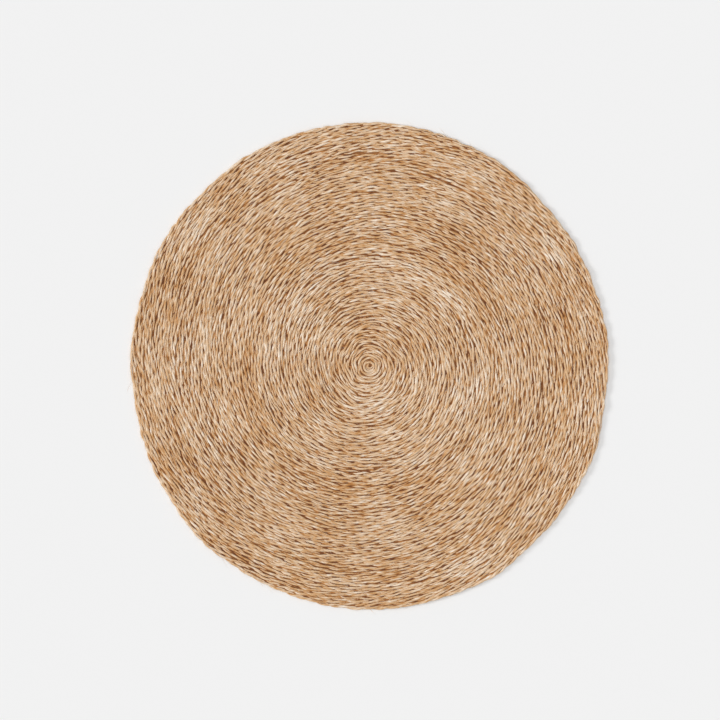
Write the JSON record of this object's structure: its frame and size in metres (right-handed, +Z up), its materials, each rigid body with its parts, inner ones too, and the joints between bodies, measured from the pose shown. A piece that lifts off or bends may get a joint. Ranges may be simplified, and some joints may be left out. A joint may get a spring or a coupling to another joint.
{
  "type": "round placemat",
  "caption": "Flat round placemat: a slightly oval disc of tightly coiled two-ply plant fibre cord with a half-round outer edge.",
  "frame": {"origin": "middle of the underside, where the mat lies on the table", "axes": "+Z up out of the table; +Y towards the top of the view that it is shown in; the long way across lies 8 degrees from +Y"},
  "size_m": [0.377, 0.3842, 0.0032],
  "materials": {
    "abaca_cord": "undyed twisted plant fibre, dry and slightly silky"
  },
  "bodies": {
    "root": {"mat": "abaca_cord"}
  },
  "joints": []
}
